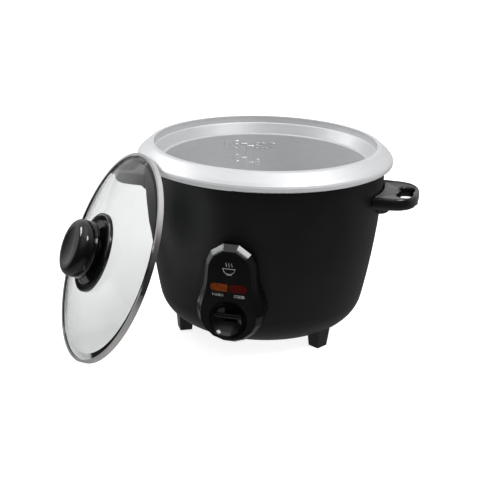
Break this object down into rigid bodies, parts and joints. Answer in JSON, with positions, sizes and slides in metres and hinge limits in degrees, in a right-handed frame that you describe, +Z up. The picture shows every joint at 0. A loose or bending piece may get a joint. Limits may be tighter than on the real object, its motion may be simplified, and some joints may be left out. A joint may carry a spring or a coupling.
{
  "type": "rice cooker",
  "caption": "Drum rice cooker with a lift-out pot, side handles, front switch panel and a glass lid leaning against its collar.",
  "frame": {"origin": "on the table, on the cooker's upright axis", "axes": "+Z up along the pot's axis; -Y towards the front, where the switch panel is; +X towards the right-hand handle"},
  "size_m": [0.2901, 0.2688, 0.161],
  "materials": {
    "body_paint": "satin",
    "gloss_black": "gloss",
    "pot_aluminium": "satin",
    "steel": "satin",
    "cast_alu": "matt",
    "ferrite": "matt",
    "white_plastic": "matt",
    "contact_brass": "satin",
    "lens_amber": "gloss",
    "lens_red": "gloss",
    "lamp_glass": "gloss",
    "lid_glass": "gloss",
    "polished_steel": "polished",
    "silicone": "matt"
  },
  "bodies": {
    "cooker": {"outer_shell": "body_paint", "rim_ring": "steel", "liner": "cast_alu", "base_plate": "steel", "base_screws": "steel", "foot_right": "gloss_black", "foot_left": "gloss_black", "foot_back": "gloss_black", "foot_screws": "steel", "heating_plate": "cast_alu", "heating_element": "steel", "plate_posts": "steel", "plate_screws": "steel", "sensor_housing": "steel", "lever_pin": "steel", "lever_bracket": "steel", "contact_block": "white_plastic", "contact_pin": "steel", "fixed_contact": "contact_brass", "warm_thermostat": "white_plastic", "thermal_fuse": "white_plastic", "fuse_clip": "steel", "terminal_block": "white_plastic", "panel_bezel": "gloss_black", "panel_plate": "gloss_black", "recess_cup": "gloss_black", "warm_lens": "lens_amber", "cook_lens": "lens_red", "warm_lamp": "lamp_glass", "cook_lamp": "lamp_glass", "lamp_holder": "white_plastic", "handle_right": "gloss_black", "handle_left": "gloss_black", "handle_screws": "steel", "inlet_socket": "gloss_black", "inlet_pins": "steel", "inlet_screws": "steel"},
    "inner_pot": {"inner_pot": "pot_aluminium"},
    "lid": {"lid_glass": "lid_glass", "lid_band": "polished_steel", "knob_base": "gloss_black", "knob": "gloss_black", "lid_screw": "steel", "lid_washer": "silicone"},
    "switch": {"switch_lever": "steel", "switch_paddle": "gloss_black"},
    "magnet": {"lower_magnet": "ferrite", "magnet_rod": "steel"},
    "sensor": {"sensor_cap": "cast_alu", "sensor_ferrite": "ferrite", "sensor_spring": "steel"},
    "contact": {"contact_arm": "contact_brass"}
  },
  "joints": [
    {"name": "pot_lift", "type": "slide", "parent": "cooker", "child": "inner_pot", "axis": [0, 0, 1], "range_m": [0, 0.16]},
    {"name": "lid_lift", "type": "slide", "parent": "cooker", "child": "lid", "axis": [0, 0, 1], "range_m": [0, 0.25]},
    {"name": "switch_lever_hinge", "type": "hinge", "parent": "cooker", "child": "switch", "pos_m": [0, -0.056, 0.04], "axis": [1, 0, 0], "range_deg": [0, 6]},
    {"name": "magnet_slide", "type": "slide", "parent": "cooker", "child": "magnet", "axis": [0, 0, 1], "range_m": [0, 0.00592]},
    {"name": "contact_hinge", "type": "hinge", "parent": "cooker", "child": "contact", "pos_m": [0.014, -0.032, 0.0225], "axis": [1, 0, 0], "range_deg": [0, 6]},
    {"name": "sensor_plunge", "type": "slide", "parent": "cooker", "child": "sensor", "axis": [0, 0, 1], "range_m": [-0.0025, 0], "stiffness_N_per_m": 400, "springref_m": 0.004, "deforming": ["sensor_spring"]}
  ],
  "couplings": [
    {"joint": "magnet_slide", "follows": "switch_lever_hinge", "m_per_rad": 0.0565},
    {"joint": "contact_hinge", "follows": "switch_lever_hinge", "ratio": 1}
  ]
}
